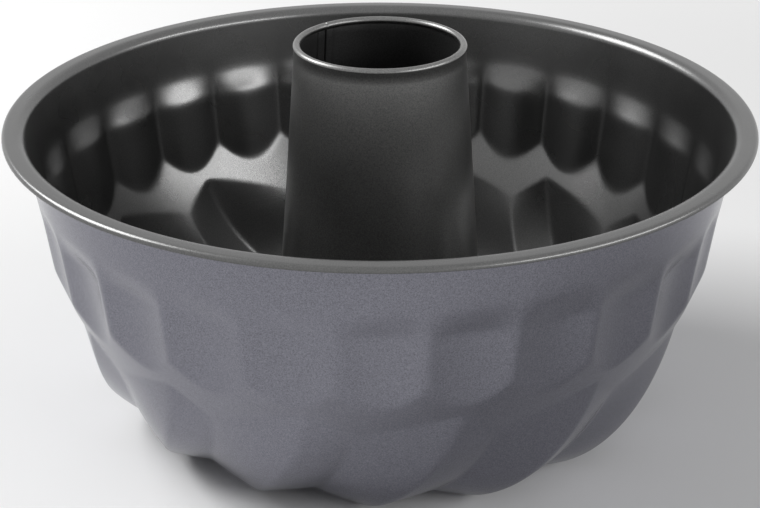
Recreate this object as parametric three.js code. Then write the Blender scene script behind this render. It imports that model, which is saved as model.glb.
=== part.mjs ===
// Ring cake pan: a deep-drawn fluted shell with a conical centre tube crimped into its floor.
// Millimetres, +Z up. The origin is on the table, under the pan's axis. The front of the pan looks along -Y.

import * as THREE from 'three';

// Sheet and fit
const sheet = 0.5;
const fitGap = 0.3;

// Heights, stacked from the table up to the top of the rim
const crestHeight = 43.8;
const shoulderHeight = 11.7;
const panelHeight = 17;
const dentRampHeight = 9;
const plainBandHeight = 17;

// Rim: a flat flange whose outer edge is curled down
const flangeWidth = 6.3;
const rimCurlRadius = 1.3;
const rimCurlDrop = 1.5;
const rimInnerFillet = 2.4;

// Wall: a plain cone that carries a row of panels dented towards the cake
const wallTopRadius = 110.3;
const wallTaper = 6;
const panelCount = 26;
const dentDepth = 2.7;
const dentRampShape = 1.7;

// Shoulder: a cone that steps in from the wall to the crests, and reaches further down at the grooves
const shoulderStep = 5.5;
const grooveNotch = 8;

// Spiral lobes: each crest runs down, round and under, stands on a pad and climbs to the floor land.
// The grooves between them end at the land's height.
const swirlCount = 14;
const firstCrestTurn = THREE.MathUtils.degToRad(15.65);
const crestLean = 2.6;
const crestDrop = 18.4;
const crestReach = 17;
const grooveLean = 4.7;
const grooveDrop = 11.1;
const grooveReach = 15;
const grooveShape = 1.36;
const padOuterRadius = 69;
const padWidth = 6;
const floorReach = 8;
const landWidth = 8.6;
const landHeight = 6;
const sideTurn = THREE.MathUtils.degToRad(19.9);
const sideTurnGrowth = 1.27;
const floorTurn = THREE.MathUtils.degToRad(12);
const steepShareAtShoulder = 0.21;
const steepShareAtPad = 0.37;
const crestShareAtShoulder = 0.04;
const crestShareAtPad = 0.12;

// Centre tube: a rolled cone with a lock seam, a bead round its mouth and a crimped foot
const tubeFootRadius = 34.6;
const tubeTaper = 8;
const tubeRise = 22.7;
const mouthBeadRadius = 1.15;
const mouthBeadProud = 0.3;
const seamWidth = 8;
const seamAngle = THREE.MathUtils.degToRad(-138);
const crimpReach = 4;
const swageReach = 1;

// Facets
const facetsPerPanel = 4;
const broadFacets = 5;
const steepFacets = 3;
const lobeSideRows = 6;
const floorRows = 3;
const dentRows = 3;
const curlSteps = 2;
const tubeFacets = 40;
const beadSteps = 6;

// Sizes that follow from the ones above
const grooveHeight = crestHeight - grooveNotch;
const wallFootHeight = crestHeight + shoulderHeight;
const dentFullHeight = wallFootHeight + panelHeight;
const dentTopHeight = dentFullHeight + dentRampHeight;
const rimHeight = dentTopHeight + plainBandHeight;
const rimRadius = wallTopRadius + flangeWidth;
const wallFootRadius = wallTopRadius - wallTaper;
const padInnerRadius = padOuterRadius - padWidth;
const landInnerRadius = tubeFootRadius + fitGap;
const landRadius = landInnerRadius + landWidth;
const tubeMouthRadius = tubeFootRadius - tubeTaper;
const tubeHeight = rimHeight + tubeRise;
const panelPitch = (2 * Math.PI) / panelCount;
const swirlPitch = (2 * Math.PI) / swirlCount;
const wallFacets = panelCount * facetsPerPanel;
const crestColumn = broadFacets + 1;
const swirlFacets = crestColumn + steepFacets;
const lobeFacets = swirlCount * swirlFacets;

// A point at a turn from the front, counted towards +X
function polar(radius, turn, height) {
  return new THREE.Vector3(radius * Math.sin(turn), -radius * Math.cos(turn), height);
}

// The sheet's other face at one vertex: the step that lies one thickness off every facet that meets there
function sheetStep(normals, thickness) {
  const m = [0, 0, 0, 0, 0, 0, 0, 0, 0];
  const pull = new THREE.Vector3();
  const steady = 1e-4;
  for (const n of normals) {
    const c = n.toArray();
    for (let r = 0; r < 3; r += 1) {
      for (let k = 0; k < 3; k += 1) {
        m[3 * r + k] += c[r] * c[k];
      }
    }
    pull.addScaledVector(n, thickness);
  }
  const mean = normals.reduce((sum, n) => sum.add(n), new THREE.Vector3()).normalize();
  pull.addScaledVector(mean, steady * thickness);
  const solve = new THREE.Matrix3().set(
    m[0] + steady, m[1], m[2],
    m[3], m[4] + steady, m[5],
    m[6], m[7], m[8] + steady,
  );
  return pull.applyMatrix3(solve.invert());
}

// Triangles between two closed rows, zipped along the shorter diagonal each time
function rowTriangles(upper, lower, upperStart, lowerStart) {
  const triangles = [];
  let i = 0;
  let j = 0;
  while (i < upper.length || j < lower.length) {
    const a = i % upper.length;
    const d = j % lower.length;
    const b = (i + 1) % upper.length;
    const c = (j + 1) % lower.length;
    const alongUpper = upper[b].distanceTo(lower[d]);
    const alongLower = upper[a].distanceTo(lower[c]);
    const lowerDone = j === lower.length;
    if (lowerDone || (i < upper.length && alongUpper < alongLower)) {
      triangles.push([upperStart + a, lowerStart + d, upperStart + b]);
      i += 1;
    } else {
      triangles.push([upperStart + a, lowerStart + d, lowerStart + c]);
      j += 1;
    }
  }
  return triangles;
}

// A closed sheet: the given face, its other face one thickness along the normals, and a strip at both edges.
// thicknessAt(column) gives the sheet's thickness there.
function closedSheet(rows, thicknessAt) {
  const face = rows.flat();
  const columnOf = rows.flatMap((row) => row.map((p, column) => column));
  const triangles = [];
  let start = 0;
  for (let i = 0; i + 1 < rows.length; i += 1) {
    const nextStart = start + rows[i].length;
    triangles.push(...rowTriangles(rows[i], rows[i + 1], start, nextStart));
    start = nextStart;
  }
  const meeting = face.map(() => []);
  for (const [a, b, c] of triangles) {
    const normal = new THREE.Triangle(face[a], face[b], face[c]).getNormal(new THREE.Vector3());
    for (const corner of [a, b, c]) {
      meeting[corner].push(normal);
    }
  }
  const back = face.map((p, index) => {
    const step = sheetStep(meeting[index], thicknessAt(columnOf[index]));
    return p.clone().sub(step);
  });
  const count = face.length;
  const indices = [];
  for (const [a, b, c] of triangles) {
    indices.push(a, b, c, count + a, count + c, count + b);
  }
  const firstLength = rows[0].length;
  for (let j = 0; j < firstLength; j += 1) {
    const k = (j + 1) % firstLength;
    indices.push(j, k, count + k, j, count + k, count + j);
  }
  const lastLength = rows[rows.length - 1].length;
  for (let j = 0; j < lastLength; j += 1) {
    const a = start + j;
    const b = start + ((j + 1) % lastLength);
    indices.push(a, count + b, b, a, count + a, count + b);
  }
  const geometry = new THREE.BufferGeometry();
  const corners = [...face, ...back].flatMap((p) => p.toArray());
  geometry.setAttribute('position', new THREE.Float32BufferAttribute(corners, 3));
  geometry.setIndex(indices);
  geometry.computeVertexNormals();
  return geometry;
}

function lerp(a, b, t) {
  return THREE.MathUtils.lerp(a, b, t);
}

// Outer face of the plain wall and of the shoulder
const wallSlope = wallTaper / (rimHeight - wallFootHeight);
const shoulderSlope = shoulderStep / shoulderHeight;

function wallRadius(height) {
  return wallFootRadius + wallSlope * (height - wallFootHeight);
}

function shoulderRadius(height) {
  return wallFootRadius + shoulderSlope * (height - wallFootHeight);
}

// A row of the rim or the wall: even steps from the edge of the panel that looks to the front
function wallRow(pointAt) {
  const row = [];
  for (let j = 0; j < wallFacets; j += 1) {
    const { radius, height } = pointAt(j);
    row.push(polar(radius, (j / facetsPerPanel - 0.5) * panelPitch, height));
  }
  return row;
}

function roundRow(radius, height) {
  return wallRow(() => ({ radius, height }));
}

// Dent of a panel across its width: a rounded trough between two edges
function dentShare(column) {
  return Math.sin((Math.PI * (column % facetsPerPanel)) / facetsPerPanel);
}

// Height where a panel dented by this depth runs into the shoulder
function panelFootHeight(dent) {
  return wallFootHeight - dent / (shoulderSlope - wallSlope);
}

function rimRows() {
  const underside = rimHeight - sheet;
  const bend = rimCurlRadius - sheet;
  const bendCentre = rimRadius - rimCurlRadius;
  const edge = rimRadius - sheet;
  const rows = [roundRow(edge, rimHeight - rimCurlDrop)];
  for (let i = 0; i <= curlSteps; i += 1) {
    const a = (Math.PI / 2) * (i / curlSteps);
    rows.push(roundRow(bendCentre + bend * Math.cos(a), underside - bend + bend * Math.sin(a)));
  }
  const fillet = rimInnerFillet + sheet;
  const filletFoot = underside - rimInnerFillet;
  rows.push(roundRow(wallRadius(filletFoot) + rimInnerFillet, underside));
  rows.push(roundRow(wallRadius(filletFoot) + 0.3 * fillet, underside - 0.3 * fillet));
  rows.push(roundRow(wallRadius(filletFoot), filletFoot));
  return rows;
}

function panelRows() {
  const rows = [roundRow(wallRadius(dentTopHeight), dentTopHeight)];
  for (let i = 1; i <= dentRows; i += 1) {
    const height = lerp(dentTopHeight, dentFullHeight, i / dentRows);
    const depth = dentDepth * (i / dentRows) ** dentRampShape;
    rows.push(wallRow((column) => ({ radius: wallRadius(height) - depth * dentShare(column), height })));
  }
  rows.push(wallRow((column) => {
    const height = panelFootHeight(dentDepth * dentShare(column));
    return { radius: shoulderRadius(height), height };
  }));
  return rows;
}

// Each swirl runs from a groove over a broad face to its narrow crest, then down a steep face to the next groove.
// How far a column lies from the crest's line towards the groove's line: none on the crest, one in the groove.
function grooveShare(column) {
  if (column <= broadFacets) {
    return (1 - column / broadFacets) ** grooveShape;
  }
  return (column - crestColumn) / steepFacets;
}

// Place of a column in its swirl, in swirl pitches from the crest's steep edge
function swirlShare(column, crestShare, steepShare) {
  if (column <= broadFacets) {
    return (1 - steepShare - crestShare) * (column / broadFacets - 1) - crestShare;
  }
  return (steepShare * (column - crestColumn)) / steepFacets;
}

// A row of the lobes between a point of the crest's line and one of the groove's line.
// down is the way from shoulder to pad, and lean turns the whole row about the axis.
function lobeRow(crest, groove, down, lean) {
  const crestShare = lerp(crestShareAtShoulder, crestShareAtPad, down);
  const steepShare = lerp(steepShareAtShoulder, steepShareAtPad, down);
  const row = [];
  for (let j = 0; j < lobeFacets; j += 1) {
    const column = j % swirlFacets;
    const swirl = Math.floor(j / swirlFacets);
    const place = crest.clone().lerp(groove, grooveShare(column));
    const turn = firstCrestTurn + (swirl + swirlShare(column, crestShare, steepShare)) * swirlPitch - lean;
    row.push(polar(place.x, turn, place.y));
  }
  return row;
}

// Line from the shoulder down the side and round to the pad's edge
function sideLine(topHeight, lean, drop, reach, footHeight) {
  const topRadius = shoulderRadius(topHeight);
  return new THREE.CubicBezierCurve(
    new THREE.Vector2(topRadius, topHeight),
    new THREE.Vector2(topRadius - lean, topHeight - drop),
    new THREE.Vector2(padOuterRadius + reach, footHeight),
    new THREE.Vector2(padOuterRadius, footHeight),
  );
}

function lobeRows() {
  const crestSide = sideLine(crestHeight, crestLean, crestDrop, crestReach, 0);
  const grooveSide = sideLine(grooveHeight, grooveLean, grooveDrop, grooveReach, landHeight);
  const rows = [];
  for (let i = 0; i <= lobeSideRows; i += 1) {
    const t = i / lobeSideRows;
    rows.push(lobeRow(crestSide.getPoint(t), grooveSide.getPoint(t), t, sideTurn * t ** sideTurnGrowth));
  }
  const crestFloor = new THREE.CubicBezierCurve(
    new THREE.Vector2(padInnerRadius, 0),
    new THREE.Vector2(padInnerRadius - floorReach, 0),
    new THREE.Vector2(landRadius + floorReach, landHeight),
    new THREE.Vector2(landRadius, landHeight),
  );
  for (let i = 0; i <= floorRows; i += 1) {
    const crest = crestFloor.getPoint(i / floorRows);
    const groove = new THREE.Vector2(crest.x, landHeight);
    const inward = (padOuterRadius - crest.x) / (padOuterRadius - landRadius);
    rows.push(lobeRow(crest, groove, 1, sideTurn + floorTurn * inward));
  }
  return rows;
}

function landRows() {
  const inner = new THREE.Vector2(landInnerRadius, landHeight);
  return [lobeRow(inner, inner, 1, sideTurn + floorTurn)];
}

const shellGeometry = closedSheet(
  [...rimRows(), ...panelRows(), ...lobeRows(), ...landRows()],
  () => sheet,
);

// The tube's outer face from the bead's inner edge, over the mouth, down the wall and out along the foot
function tubeProfile() {
  const beadCentreHeight = tubeHeight - mouthBeadRadius;
  const beadCentreRadius = tubeMouthRadius + mouthBeadProud - mouthBeadRadius;
  const curl = 1.5 * Math.PI;
  const profile = [];
  for (let i = beadSteps; i >= 0; i -= 1) {
    const a = (curl * i) / beadSteps;
    profile.push([
      beadCentreRadius + mouthBeadRadius * Math.cos(a),
      beadCentreHeight + mouthBeadRadius * Math.sin(a),
    ]);
  }
  const swageFoot = landHeight + sheet + fitGap;
  const footTop = landHeight - fitGap;
  profile.push([tubeMouthRadius, beadCentreHeight - mouthBeadRadius]);
  profile.push([tubeFootRadius, swageFoot + 2 * swageReach]);
  profile.push([tubeFootRadius + swageReach, swageFoot + swageReach]);
  profile.push([tubeFootRadius, swageFoot]);
  profile.push([tubeFootRadius, footTop]);
  profile.push([tubeFootRadius + crimpReach, footTop]);
  return profile;
}

// Turns round the tube: even facets, with a step at both edges of the seam
function tubeTurns() {
  const halfSeam = seamWidth / 2 / tubeFootRadius;
  const stepTurn = sheet / tubeFootRadius;
  const turns = [];
  const plainTurn = 2 * Math.PI - 2 * (halfSeam + stepTurn);
  for (let j = 0; j <= tubeFacets; j += 1) {
    turns.push({ turn: seamAngle + halfSeam + stepTurn + (plainTurn * j) / tubeFacets, seam: false });
  }
  for (const share of [-1, 0, 1]) {
    turns.push({ turn: seamAngle + share * halfSeam, seam: true });
  }
  return turns;
}

function tubeRows(turns) {
  return tubeProfile().map(([radius, height]) => turns.map(({ turn }) => polar(radius, turn, height)));
}

const turns = tubeTurns();
const tubeGeometry = closedSheet(
  tubeRows(turns),
  (column) => (turns[column].seam ? 2 * sheet : sheet),
);

const shell = new THREE.Mesh(
  shellGeometry,
  new THREE.MeshStandardMaterial({ color: 0x5a5b61, roughness: 0.42, metalness: 0.75 }),
);
shell.name = 'shell';

const tube = new THREE.Mesh(
  tubeGeometry,
  new THREE.MeshStandardMaterial({ color: 0x4c4c4e, roughness: 0.38, metalness: 0.75 }),
);
tube.name = 'centre_tube';

const pan = new THREE.Group();
pan.add(shell, tube);

export default pan;
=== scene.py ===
import bpy
import math
import numpy as np
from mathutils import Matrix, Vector


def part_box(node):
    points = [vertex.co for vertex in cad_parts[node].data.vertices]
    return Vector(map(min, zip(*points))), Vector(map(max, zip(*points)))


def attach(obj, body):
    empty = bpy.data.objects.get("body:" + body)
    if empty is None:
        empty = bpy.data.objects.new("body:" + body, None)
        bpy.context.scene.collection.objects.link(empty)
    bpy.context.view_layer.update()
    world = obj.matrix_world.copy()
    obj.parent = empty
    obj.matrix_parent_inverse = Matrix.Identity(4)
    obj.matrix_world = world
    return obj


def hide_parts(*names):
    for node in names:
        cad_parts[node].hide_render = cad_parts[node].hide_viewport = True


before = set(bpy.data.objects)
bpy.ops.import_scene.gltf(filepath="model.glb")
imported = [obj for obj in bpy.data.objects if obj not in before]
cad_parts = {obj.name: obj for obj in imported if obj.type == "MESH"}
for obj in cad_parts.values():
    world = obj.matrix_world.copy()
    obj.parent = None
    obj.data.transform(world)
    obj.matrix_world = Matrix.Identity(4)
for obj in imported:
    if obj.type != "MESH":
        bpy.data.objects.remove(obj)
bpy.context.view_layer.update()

mm = 0.001
fullTurn = 2 * math.pi
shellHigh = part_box("shell")[1]
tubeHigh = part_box("centre_tube")[1]
print("frame loaded, nodes", sorted(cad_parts))


# Shared mesh helpers

def polarGrid(radius, turn, height):
    # a point at a turn from the front (-Y), counted towards +X
    return np.stack([radius * np.sin(turn), -radius * np.cos(turn), height + 0 * turn], axis=-1)


def gridNormals(points):
    # cross product of the two grid directions; columns close on themselves, rows don't
    alongRows = np.gradient(points, axis=0)
    alongColumns = np.roll(points, -1, axis=1) - np.roll(points, 1, axis=1)
    normals = np.cross(alongRows, alongColumns)
    return normals / np.linalg.norm(normals, axis=-1, keepdims=True)


def easeEdges(points, passes, freedom):
    # pressing rounds every edge: each pass moves a point half way to the mean
    # of its four neighbours, times the freedom of its row
    halfWay = 0.5
    for _ in range(passes):
        mean = (np.roll(points, 1, axis=1) + np.roll(points, -1, axis=1)) / 4
        mean[1:-1] += (points[:-2] + points[2:]) / 4
        mean[0] += points[0] / 2
        mean[-1] += points[-1] / 2
        points = points + freedom * halfWay * (mean - points)
    return points


def sheetMesh(name, face, thickness):
    # a closed sheet: the given face, its other face one thickness along the normals,
    # and a strip at both edges
    back = face - gridNormals(face) * thickness
    rowCount, columnCount = face.shape[:2]
    count = rowCount * columnCount
    index = np.arange(count).reshape(rowCount, columnCount)
    nextColumn = np.roll(index, -1, axis=1)
    a, b = index[:-1], nextColumn[:-1]
    c, d = nextColumn[1:], index[1:]
    faceQuads = np.stack([a, d, c, b], axis=-1).reshape(-1, 4)
    backQuads = faceQuads[:, ::-1] + count
    top, topNext = index[0], nextColumn[0]
    foot, footNext = index[-1], nextColumn[-1]
    topStrip = np.stack([top, topNext, topNext + count, top + count], axis=-1)
    footStrip = np.stack([foot, foot + count, footNext + count, footNext], axis=-1)
    quads = np.concatenate([faceQuads, backQuads, topStrip, footStrip])
    points = np.concatenate([face.reshape(-1, 3), back.reshape(-1, 3)]) * mm
    mesh = bpy.data.meshes.new(name)
    mesh.vertices.add(len(points))
    mesh.vertices.foreach_set("co", points.astype(np.float32).ravel())
    mesh.loops.add(quads.size)
    mesh.loops.foreach_set("vertex_index", quads.astype(np.int32).ravel())
    mesh.polygons.add(len(quads))
    mesh.polygons.foreach_set("loop_start", np.arange(0, quads.size, 4, dtype=np.int32))
    mesh.polygons.foreach_set("use_smooth", np.ones(len(quads), dtype=bool))
    slotIndex = np.zeros(len(quads), dtype=np.int32)
    slotIndex[len(faceQuads):] = 1  # the back and both edges take the second finish
    mesh.polygons.foreach_set("material_index", slotIndex)
    mesh.update()
    mesh.validate()
    piece = bpy.data.objects.new(name, mesh)
    bpy.context.scene.collection.objects.link(piece)
    return piece


def bezier(points, t, pull=1.0):
    # rational cubic from the first point to the last, drawn to the two between;
    # more pull makes them corners
    points = np.array(points, dtype=float)
    t = np.asarray(t)[:, None]
    s = 1 - t
    shares = (s**3, 3 * pull * s * s * t, 3 * pull * s * t * t, t**3)
    return sum(share * p for share, p in zip(shares, points)) / sum(shares)


def smoothStep(t):
    return t * t * (3 - 2 * t)


def crowded(t, share):
    # steps drawn towards both ends, where the edges are: t less a sine of one period
    return t - share * np.sin(fullTurn * t) / fullTurn


# Fluted shell, millimetres

shellForm = {
    "sheet": 0.5,
    "wallFootHeight": 55.5,
    "panelHeight": 17.0,
    "dentRampHeight": 9.0,
    "flangeWidth": 6.3,
    "curlRadius": 1.3,
    "curlDrop": 1.5,
    "innerFillet": 2.4,
    "wallTaper": 6.0,
    "dentDepth": 2.7,
    "dentRampShape": 1.3,
    "panelFlatness": 0.88,  # one is a round trough, less is flatter between the ridges
    "shoulderSlope": 0.47,  # radius gained for each millimetre up
    "panels": 26,
    "swirls": 14,
    "crestTurn": math.radians(13.9),  # where one crest leaves the shoulder
    "crestHeight": 43.8,
    "crestLean": 3.9,
    "crestDrop": 20.3,
    "crestReach": 18.1,
    "crestToe": 3.1,  # height of the bend between a crest's side and its underside
    "crestPull": 1.4,  # above one makes that bend tighter
    "grooveHeight": 35.2,
    "grooveLean": 7.1,
    "grooveDrop": 15.9,
    "grooveReach": 15.2,
    "grooveShape": 1.05,  # one is a straight broad face, more is a fuller one
    "padRadius": 69.0,
    "padWidth": 6.0,
    "floorReach": 8.0,
    "landRadius": 43.5,
    "landHeight": 6.0,
    "landInner": 34.9,
    "sideTurn": math.radians(19.6),  # how far a lobe spirals from the shoulder to its pad
    "sideTurnGrowth": 1.3,
    "floorTurn": math.radians(12.0),  # and from the pad to the land
    "steepAtShoulder": 0.26,  # shares of one lobe's pitch
    "steepAtPad": 0.46,
    "crestAtShoulder": 0.04,
    "crestAtPad": 0.03,
    "columnsPerPanel": 14,
    "broadColumns": 14,
    "crestColumns": 2,
    "steepColumns": 10,
    "columnShift": 7,  # the first lobe starts this many columns on from the first panel
    "edgeCrowding": 0.45,
    "edgePasses": 5,
    "lobeFreedom": 0.2,
    "lipRows": 2,
    "bendRows": 7,
    "flangeRows": 2,
    "bandRows": 4,
    "rampRows": 12,
    "panelRows": 12,
    "shoulderRows": 10,
    "sideRows": 37,
    "sideCrowding": 1.25,  # above one sets the rows closer at the shoulder's edge
    "padRows": 3,
    "floorRows": 15,
    "landRows": 3,
}


def shellFace(form):
    # the outer face as rows from the rim's edge to the floor land,
    # each a radius, a height and a turn per column
    rimHeight = shellHigh.z / mm
    rimRadius = shellHigh.x / mm
    sheet = form["sheet"]
    wallFoot = form["wallFootHeight"]
    dentFull = wallFoot + form["panelHeight"]
    dentTop = dentFull + form["dentRampHeight"]
    wallFootRadius = rimRadius - form["flangeWidth"] - form["wallTaper"]
    wallSlope = form["wallTaper"] / (rimHeight - wallFoot)
    pitch = fullTurn / form["swirls"]
    broad, steep = form["broadColumns"], form["steepColumns"]
    crestEnd = broad + form["crestColumns"]
    perSwirl = crestEnd + steep
    total = perSwirl * form["swirls"]
    column = np.arange(total)

    def wallRadius(height):
        return wallFootRadius + wallSlope * (height - wallFoot)

    def shoulderRadius(height):
        return wallFootRadius + form["shoulderSlope"] * (height - wallFoot)

    # each panel is a rounded trough between two ridges, with one panel's middle at the front
    inPanel = crowded(column / form["columnsPerPanel"] % 1, form["edgeCrowding"])
    wallTurn = (column // form["columnsPerPanel"] + inPanel - 0.5) * fullTurn / form["panels"]
    across = np.sin(math.pi * inPanel) ** form["panelFlatness"]

    # lobe columns run from a groove over a broad face to the crest,
    # then down a steep face to the next groove
    lobeColumn = column - form["columnShift"]
    step = lobeColumn % perSwirl
    onBroad = crowded(np.clip(step / broad, 0, 1), form["edgeCrowding"])
    onCrest = np.clip((step - broad) / form["crestColumns"], 0, 1)
    onSteep = crowded(np.clip((step - crestEnd) / steep, 0, 1), form["edgeCrowding"])
    sink = (1 - onBroad) ** form["grooveShape"] + onSteep

    def lobeTurn(down, lean):
        # the steep face takes a share of the pitch that grows on the way down, the crest a thin one
        # and the broad face the rest; lean turns the whole row
        down, lean = np.atleast_1d(down)[:, None], np.atleast_1d(lean)[:, None]
        crestShare = form["crestAtShoulder"] * (1 - down) + form["crestAtPad"] * down
        steepShare = form["steepAtShoulder"] * (1 - down) + form["steepAtPad"] * down
        broadShare = 1 - crestShare - steepShare
        inSwirl = broadShare * (onBroad - 1) + crestShare * (onCrest - 1) + steepShare * onSteep
        return form["crestTurn"] + (lobeColumn // perSwirl + inSwirl) * pitch - lean

    rows = []

    def rowsSoFar():
        return sum(len(radius) for radius, height, turn in rows)

    def addRound(radius, height):
        # plain rings: a single radius or height serves all rows
        radius, height = (v[:, None] for v in np.broadcast_arrays(radius, height))
        rows.append((radius + 0 * wallTurn, height + 0 * wallTurn, wallTurn + 0 * radius))

    # rim: the edge of the curl, a quarter bend, the flange's underside and the fillet into the wall
    underside = rimHeight - sheet
    bend = form["curlRadius"] - sheet
    lip = np.linspace(rimHeight - form["curlDrop"], underside - bend, form["lipRows"] + 1)[:-1]
    addRound(rimRadius - sheet, lip)
    a = np.linspace(0, math.pi / 2, form["bendRows"])
    addRound(rimRadius - form["curlRadius"] + bend * np.cos(a), underside - bend + bend * np.sin(a))
    fillet = form["innerFillet"]
    filletCentre = wallRadius(underside - fillet) + fillet
    flangeEdge = rimRadius - form["curlRadius"]
    addRound(np.linspace(flangeEdge, filletCentre, form["flangeRows"] + 2)[1:-1], underside)
    a = np.linspace(math.pi / 2, math.pi, form["bendRows"])
    addRound(filletCentre + fillet * np.cos(a), underside - fillet + fillet * np.sin(a))
    rimRows = rowsSoFar()

    # plain band, then the ramp into each panel, slow at first and steepest at its foot
    height = np.linspace(underside - fillet, dentTop, form["bandRows"] + 1)[1:]
    addRound(wallRadius(height), height)
    t = np.linspace(0, 1, form["rampRows"] + 1)[1:, None]
    height = dentTop - t * form["dentRampHeight"]
    dent = form["dentDepth"] * across
    rampRadius = wallRadius(height) - t ** form["dentRampShape"] * dent
    rows.append((rampRadius, height + 0 * dent, wallTurn + 0 * t))

    # panels down to where they run into the shoulder
    panelFoot = wallFoot - dent / (form["shoulderSlope"] - wallSlope)
    t = crowded(np.linspace(0, 1, form["panelRows"] + 1)[1:, None], form["edgeCrowding"])
    height = dentFull * (1 - t) + panelFoot * t
    rows.append((wallRadius(height) - dent, height, wallTurn + 0 * t))

    # shoulder down to the zigzag edge of the lobes,
    # where the columns slide over to the lobes' own spacing
    t = np.linspace(0, 1, form["shoulderRows"] + 2)[1:-1, None]
    lobeTop = form["crestHeight"] + (form["grooveHeight"] - form["crestHeight"]) * sink
    height = panelFoot * (1 - t) + lobeTop * t
    slide = smoothStep(t)
    slidTurn = wallTurn * (1 - slide) + lobeTurn(0, 0) * slide
    rows.append((shoulderRadius(height), height, slidTurn))

    # lobes: each point lies between the crest's line and the groove's line, by its sink
    padRadius = form["padRadius"]
    landRadius, landHeight = form["landRadius"], form["landHeight"]

    def sideLine(topHeight, lean, drop, reach, footHeight, t, toe=0.0, pull=1.0):
        topRadius = shoulderRadius(topHeight)
        pulls = [(topRadius - lean, topHeight - drop), (padRadius + reach, footHeight + toe)]
        return bezier([(topRadius, topHeight), *pulls, (padRadius, footHeight)], t, pull)

    lobeRow = rowsSoFar()
    t = np.linspace(0, 1, form["sideRows"]) ** form["sideCrowding"]
    crestSide = sideLine(
        form["crestHeight"], form["crestLean"], form["crestDrop"], form["crestReach"], 0, t,
        form["crestToe"], form["crestPull"])
    grooveSide = sideLine(
        form["grooveHeight"], form["grooveLean"], form["grooveDrop"], form["grooveReach"],
        landHeight, t)
    sideTurns = lobeTurn(t, form["sideTurn"] * t ** form["sideTurnGrowth"])
    p = np.linspace(0, 1, form["padRows"] + 2)[1:-1]
    pad = np.stack([padRadius - form["padWidth"] * p, 0 * p], axis=-1)
    padInner = padRadius - form["padWidth"]
    innerPulls = [(padInner - form["floorReach"], 0), (landRadius + form["floorReach"], landHeight)]
    floorLine = [(padInner, 0), *innerPulls, (landRadius, landHeight)]
    crestFloor = np.concatenate([pad, bezier(floorLine, np.linspace(0, 1, form["floorRows"]))])
    grooveFloor = np.stack([crestFloor[:, 0], np.full(len(crestFloor), landHeight)], axis=-1)
    inward = (padRadius - crestFloor[:, 0]) / (padRadius - landRadius)
    floorTurns = lobeTurn(np.ones(len(inward)), form["sideTurn"] + form["floorTurn"] * inward)
    crest = np.concatenate([crestSide, crestFloor])[:, None, :]
    groove = np.concatenate([grooveSide, grooveFloor])[:, None, :]
    place = crest + (groove - crest) * sink[None, :, None]
    rows.append((place[..., 0], place[..., 1], np.concatenate([sideTurns, floorTurns])))

    # flat land round the tube's foot
    radius = np.linspace(landRadius, form["landInner"], form["landRows"] + 1)[1:, None]
    ring = radius + 0 * wallTurn
    rows.append((ring, landHeight + 0 * ring, floorTurns[-1:] + 0 * radius))

    radius, height, turn = (np.concatenate([r[i] for r in rows]) for i in range(3))
    points = polarGrid(radius, turn, height)
    freedom = np.ones(len(points))
    freedom[:rimRows] = 0  # the rim's bends are drawn at their own radius
    freedom[lobeRow:] = form["lobeFreedom"]  # the lobes keep crisper edges than the panels
    freedom[-form["landRows"]:] = 0  # the land stays flat
    return easeEdges(points, form["edgePasses"], freedom[:, None, None])


shell = sheetMesh("panShell", shellFace(shellForm), shellForm["sheet"])
print("shell made,", len(shell.data.polygons), "faces")


# Centre tube, millimetres

tubeForm = {
    "sheet": 0.5,
    "footRadius": 34.6,
    "mouthRadius": 26.6,
    "beadRadius": 1.15,
    "beadTurn": 1.5 * math.pi,  # the mouth's edge is rolled through three quarters of a circle
    "beadProud": 0.3,
    "landHeight": 6.0,
    "gap": 0.3,
    "crimpReach": 4.0,
    "crimpBend": (0.3, 0.4),  # reach and height of the bend into the crimped foot
    "swageReach": 1.0,
    "seamTurn": math.radians(-138.0),
    "seamWidth": 8.0,
    "seamStep": 0.7,  # width of the slope at both edges of the seam
    "gapWidth": 1.3,  # where the two folded edges meet
    "gapDepth": 0.55,
    "beadNick": 0.3,
    "plainColumns": 230,
    "stripColumns": 5,
    "gapColumns": 10,
    "stepColumns": 5,
    "beadRows": 36,
    "wallRows": 40,
    "swageRows": 11,
    "neckRows": 2,
    "footRows": 6,
}


def tubeTurns(form):
    # even columns round the tube, with close ones over the seam; strip is one where the sheet
    # is doubled, and gap rises to one along the line where the folded edges meet
    half = form["seamWidth"] / 2 / form["footRadius"]
    slope = form["seamStep"] / form["footRadius"]
    slit = form["gapWidth"] / 2 / form["footRadius"]
    side = np.linspace(slit, half, form["stripColumns"] + 1)
    edge = np.linspace(half, half + slope, form["stepColumns"] + 1)[1:]
    plain = np.linspace(half + slope, math.pi, form["plainColumns"] // 2 + 1)[1:]
    right = np.concatenate([side, edge, plain])
    middle = np.linspace(-slit, slit, form["gapColumns"] + 1)[1:-1]
    turn = np.concatenate([-right[-2::-1], middle, right])
    away = np.abs(turn)
    strip = 1 - smoothStep(np.clip((away - half) / slope, 0, 1))
    gap = 1 - smoothStep(np.clip(away / slit, 0, 1))
    return turn + form["seamTurn"], strip, gap


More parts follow.
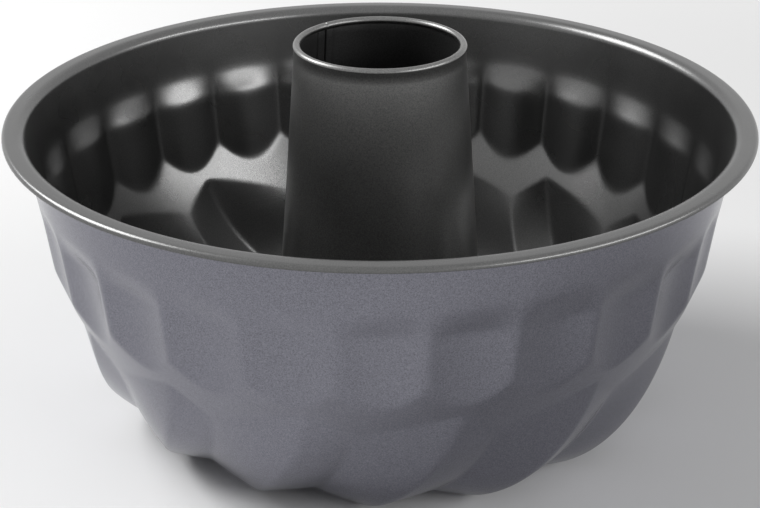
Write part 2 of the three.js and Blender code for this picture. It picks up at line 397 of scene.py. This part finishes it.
def tubeFace(form, turn, gap):
    # the outer face as rings from the bead's inner edge, over the mouth,
    # down the wall, over the swaged ridge and out along the foot
    top = tubeHigh.z / mm
    bead = form["beadRadius"]
    beadHeight = top - bead
    beadCentre = form["mouthRadius"] + form["beadProud"] - bead
    a = np.linspace(form["beadTurn"], 0, form["beadRows"])
    radius = [beadCentre + bead * np.cos(a)]
    height = [beadHeight + bead * np.sin(a)]
    nick = [np.sin(a).clip(0, 1) * form["beadNick"]]  # the bead's two ends meet on the seam
    swageFoot = form["landHeight"] + form["sheet"] + form["gap"]
    t = np.linspace(0, 1, form["wallRows"])
    wallTop = beadHeight - bead
    wallFoot = swageFoot + 2 * form["swageReach"]
    radius.append(form["mouthRadius"] + (form["footRadius"] - form["mouthRadius"]) * t)
    height.append(wallTop + (wallFoot - wallTop) * t)
    t = np.linspace(0, 1, form["swageRows"] + 1)[1:]
    radius.append(form["footRadius"] + form["swageReach"] * np.sin(math.pi * t) ** 2)
    height.append(wallFoot + (swageFoot - wallFoot) * t)
    footTop = form["landHeight"] - form["gap"]
    bendReach, bendHeight = form["crimpBend"]
    radius.append(np.full(form["neckRows"], form["footRadius"]))
    height.append(np.linspace(swageFoot, footTop + bendHeight, form["neckRows"] + 1)[1:])
    t = np.linspace(0, 1, form["footRows"])
    radius.append(form["footRadius"] + bendReach + (form["crimpReach"] - bendReach) * t)
    height.append(np.full(form["footRows"], footTop))
    radius = np.concatenate(radius)[:, None]
    height = np.concatenate(height)[:, None]
    nick = np.concatenate([*nick, np.zeros(len(radius) - len(a))])[:, None]
    return polarGrid(radius + 0 * turn, turn + 0 * radius, height - nick * gap)


tubeTurn, tubeStrip, tubeGap = tubeTurns(tubeForm)
tubeThickness = tubeForm["sheet"] * (1 + tubeStrip) - tubeForm["gapDepth"] * tubeGap
tubeRings = tubeFace(tubeForm, tubeTurn, tubeGap)
tube = sheetMesh("centreTube", tubeRings, tubeThickness[None, :, None])
seamGap = tube.data.attributes.new("seamGap", "FLOAT", "POINT")
seamGap.data.foreach_set("value", np.tile(tubeGap, 2 * len(tubeRings)).astype(np.float32))
print("tube made,", len(tube.data.polygons), "faces")


# Finishes

outerFinish = {
    "dark": (0.140, 0.140, 0.164),
    "light": (0.258, 0.258, 0.298),
    "grain": 2400.0,  # grains a metre
    "metallic": 0.85,
    "roughness": (0.19, 0.25),
    "bump": 0.08,
}
innerFinish = {
    "dark": (0.10, 0.10, 0.101),
    "light": (0.15, 0.15, 0.148),
    "grain": 2600.0,
    "metallic": 0.95,
    "roughness": (0.26, 0.31),
    "bump": 0.04,
}
tubeFinish = {
    "dark": (0.12, 0.12, 0.12),
    "light": (0.215, 0.215, 0.21),
    "grain": 2400.0,
    "metallic": 0.96,
    "roughness": (0.30, 0.37),
    "bump": 0.08,
}
# painted shade: the bore's grain film is set darker than the tube's outer coat, standing in for the
# shade down inside the tube
boreShadedFinish = {
    "dark": (0.05, 0.05, 0.05),
    "light": (0.09, 0.09, 0.09),
    "grain": 2400.0,
    "metallic": 0.8,
    "roughness": (0.36, 0.44),
    "bump": 0.08,
}
# painted shade: a near-black colour for the seam's gap line, standing in for the shadow down in
# that narrow gap
seamGapShadeColour = (0.008, 0.008, 0.008)

# what the four coats share
coatTexture = {
    "grainDetail": 3.0,
    "grainRoughness": 0.7,
    "filmRange": (0.32, 0.68),  # grain levels of the darkest and the lightest film
    "driftScale": 38.0,  # patches of sheen a metre
    "driftDetail": 2.0,
    "driftRange": (0.3, 0.7),  # drift levels of the glossiest and the dullest patch
    "bumpDistance": 0.0002,
}


def coating(name, finish, gapShadeColour=None):
    # baked-on coating: fine metal grains in a dark film, and a slow drift of sheen
    # over the sheet; a painted shade, near black, fills the line where the tube's folded edges
    # meet, standing in for the shadow down in that gap
    material = bpy.data.materials.new(name)
    material.use_nodes = True
    nodes, links = material.node_tree.nodes, material.node_tree.links
    shader = nodes["Principled BSDF"]
    shader.inputs["Metallic"].default_value = finish["metallic"]
    place = nodes.new("ShaderNodeTexCoord")
    grain = nodes.new("ShaderNodeTexNoise")
    grain.inputs["Scale"].default_value = finish["grain"]
    grain.inputs["Detail"].default_value = coatTexture["grainDetail"]
    grain.inputs["Roughness"].default_value = coatTexture["grainRoughness"]
    links.new(place.outputs["Object"], grain.inputs["Vector"])
    film = nodes.new("ShaderNodeValToRGB")
    for stop, level, shade in zip(
            film.color_ramp.elements, coatTexture["filmRange"], (finish["dark"], finish["light"])):
        stop.position = level
        stop.color = (*shade, 1)
    links.new(grain.outputs["Fac"], film.inputs["Fac"])
    if gapShadeColour is None:
        links.new(film.outputs["Color"], shader.inputs["Base Color"])
    else:
        gap = nodes.new("ShaderNodeAttribute")
        gap.attribute_name = "seamGap"
        filled = nodes.new("ShaderNodeMix")
        filled.data_type = "RGBA"
        # a colour mix takes inputs 6 and 7 and gives output 2
        mixShare, coatSide, gapShadeSide = (filled.inputs[i] for i in (0, 6, 7))
        # along the seam's gap the coat gives way to the painted shade colour
        links.new(gap.outputs["Fac"], mixShare)
        links.new(film.outputs["Color"], coatSide)
        gapShadeSide.default_value = (*gapShadeColour, 1)
        links.new(filled.outputs[2], shader.inputs["Base Color"])
    drift = nodes.new("ShaderNodeTexNoise")
    drift.inputs["Scale"].default_value = coatTexture["driftScale"]
    drift.inputs["Detail"].default_value = coatTexture["driftDetail"]
    links.new(place.outputs["Object"], drift.inputs["Vector"])
    sheen = nodes.new("ShaderNodeMapRange")
    sheen.inputs["From Min"].default_value = coatTexture["driftRange"][0]
    sheen.inputs["From Max"].default_value = coatTexture["driftRange"][1]
    sheen.inputs["To Min"].default_value = finish["roughness"][0]
    sheen.inputs["To Max"].default_value = finish["roughness"][1]
    links.new(drift.outputs["Fac"], sheen.inputs["Value"])
    links.new(sheen.outputs["Result"], shader.inputs["Roughness"])
    relief = nodes.new("ShaderNodeBump")
    relief.inputs["Strength"].default_value = finish["bump"]
    relief.inputs["Distance"].default_value = coatTexture["bumpDistance"]
    links.new(grain.outputs["Fac"], relief.inputs["Height"])
    links.new(relief.outputs["Normal"], shader.inputs["Normal"])
    return material


shell.data.materials.append(coating("outerCoating", outerFinish))
shell.data.materials.append(coating("innerCoating", innerFinish))
tube.data.materials.append(coating("tubeCoating", tubeFinish))
# the tube's inside takes the darker coat with painted shade, and the seam gap's painted shade
tube.data.materials.append(coating("boreShadedCoating", boreShadedFinish, seamGapShadeColour))
print("finishes made")

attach(shell, "root")
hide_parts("shell")
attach(tube, "root")
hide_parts("centre_tube")


# Floor, light and camera

studio = {
    "floorSize": 6.0,
    "floorColour": (0.86, 0.86, 0.86, 1),
    "floorRoughness": 0.9,
    "fadeFrom": 0.30,  # metres from the pan's axis where the floor starts to go white
    "fadeTo": 0.85,  # and where it is white
    "worldLight": 0.23,
    "target": (0.0, 0.0, 0.0493),
    "distance": 0.6058,
    "pitch": math.radians(24.588),
    "focalPixels": 1871.26,
    "imageWidth": 760,
    "sensor": 36.0,
}

# each softbox: turn from the front towards +X and height angle in degrees,
# distance and size in metres
softboxes = {
    "backLeft": {
        "turn": -110.0, "rise": 40.0, "distance": 1.35,
        "size": (0.9, 0.7), "watts": 19.5,
    },
    "stripRight": {
        "turn": 64.0, "rise": 23.5, "distance": 1.3,
        "size": (1.4, 0.25), "watts": 7.2,
    },
}


def seenOrMirrored(nodes, links):
    # one for a ray from the camera, in a reflection or through glass,
    # zero for light on its way to a surface
    path = nodes.new("ShaderNodeLightPath")
    mirrored = nodes.new("ShaderNodeMath")
    mirrored.operation = "MAXIMUM"
    links.new(path.outputs["Is Glossy Ray"], mirrored.inputs[0])
    links.new(path.outputs["Is Transmission Ray"], mirrored.inputs[1])
    seen = nodes.new("ShaderNodeMath")
    seen.operation = "MAXIMUM"
    links.new(path.outputs["Is Camera Ray"], seen.inputs[0])
    links.new(mirrored.outputs[0], seen.inputs[1])
    return seen.outputs[0]


def makeFloor():
    half = studio["floorSize"] / 2
    mesh = bpy.data.meshes.new("floor")
    corners = [(-half, -half, 0), (half, -half, 0), (half, half, 0), (-half, half, 0)]
    mesh.from_pydata(corners, [], [(0, 1, 2, 3)])
    floor = bpy.data.objects.new("floor", mesh)
    bpy.context.scene.collection.objects.link(floor)
    finish = bpy.data.materials.new("floorPaint")
    finish.use_nodes = True
    nodes, links = finish.node_tree.nodes, finish.node_tree.links
    shader = nodes["Principled BSDF"]
    shader.inputs["Base Color"].default_value = studio["floorColour"]
    shader.inputs["Roughness"].default_value = studio["floorRoughness"]
    # far from the pan the floor fades into the white background, which lights nothing,
    # and the shadow stays
    white = nodes.new("ShaderNodeEmission")
    place = nodes.new("ShaderNodeTexCoord")
    away = nodes.new("ShaderNodeVectorMath")
    away.operation = "LENGTH"
    links.new(place.outputs["Object"], away.inputs[0])
    fade = nodes.new("ShaderNodeMapRange")
    fade.interpolation_type = "SMOOTHSTEP"
    fade.inputs["From Min"].default_value = studio["fadeFrom"]
    fade.inputs["From Max"].default_value = studio["fadeTo"]
    links.new(away.outputs["Value"], fade.inputs["Value"])
    share = nodes.new("ShaderNodeMath")
    share.operation = "MULTIPLY"
    links.new(fade.outputs["Result"], share.inputs[0])
    links.new(seenOrMirrored(nodes, links), share.inputs[1])
    blend = nodes.new("ShaderNodeMixShader")
    links.new(share.outputs[0], blend.inputs[0])
    links.new(shader.outputs[0], blend.inputs[1])
    links.new(white.outputs[0], blend.inputs[2])
    links.new(blend.outputs[0], nodes["Material Output"].inputs["Surface"])
    mesh.materials.append(finish)


def makeWorld():
    # white to the camera and in reflections, a softer level as light
    world = bpy.data.worlds.new("studioWorld")
    bpy.context.scene.world = world
    world.use_nodes = True
    nodes, links = world.node_tree.nodes, world.node_tree.links
    background = nodes["Background"]
    background.inputs["Color"].default_value = (1, 1, 1, 1)
    level = nodes.new("ShaderNodeMapRange")
    level.inputs["To Min"].default_value = studio["worldLight"]
    level.inputs["To Max"].default_value = 1.0
    links.new(seenOrMirrored(nodes, links), level.inputs["Value"])
    links.new(level.outputs["Result"], background.inputs["Strength"])


def makeSoftbox(name, box):
    lamp = bpy.data.lights.new(name, "AREA")
    lamp.shape = "RECTANGLE"
    lamp.size, lamp.size_y = box["size"]
    lamp.energy = box["watts"]
    light = bpy.data.objects.new(name, lamp)
    bpy.context.scene.collection.objects.link(light)
    turn, rise = math.radians(box["turn"]), math.radians(box["rise"])
    level = math.cos(rise)
    way = Vector((level * math.sin(turn), -level * math.cos(turn), math.sin(rise)))
    light.location = Vector(studio["target"]) + way * box["distance"]
    light.rotation_euler = (-way).to_track_quat("-Z", "Y").to_euler()


def makeCamera():
    lens = bpy.data.cameras.new("photoCamera")
    lens.sensor_fit = "HORIZONTAL"
    lens.sensor_width = studio["sensor"]
    lens.lens = studio["focalPixels"] / studio["imageWidth"] * studio["sensor"]
    camera = bpy.data.objects.new("photoCamera", lens)
    bpy.context.scene.collection.objects.link(camera)
    pitch = studio["pitch"]
    away = Vector((0, -math.cos(pitch), math.sin(pitch))) * studio["distance"]
    camera.location = Vector(studio["target"]) + away
    camera.rotation_euler = (math.pi / 2 - pitch, 0, 0)
    bpy.context.scene.camera = camera


makeFloor()
makeWorld()
for name, box in softboxes.items():
    makeSoftbox(name, box)
makeCamera()
bpy.context.scene.view_settings.view_transform = "Standard"
print("studio ready")
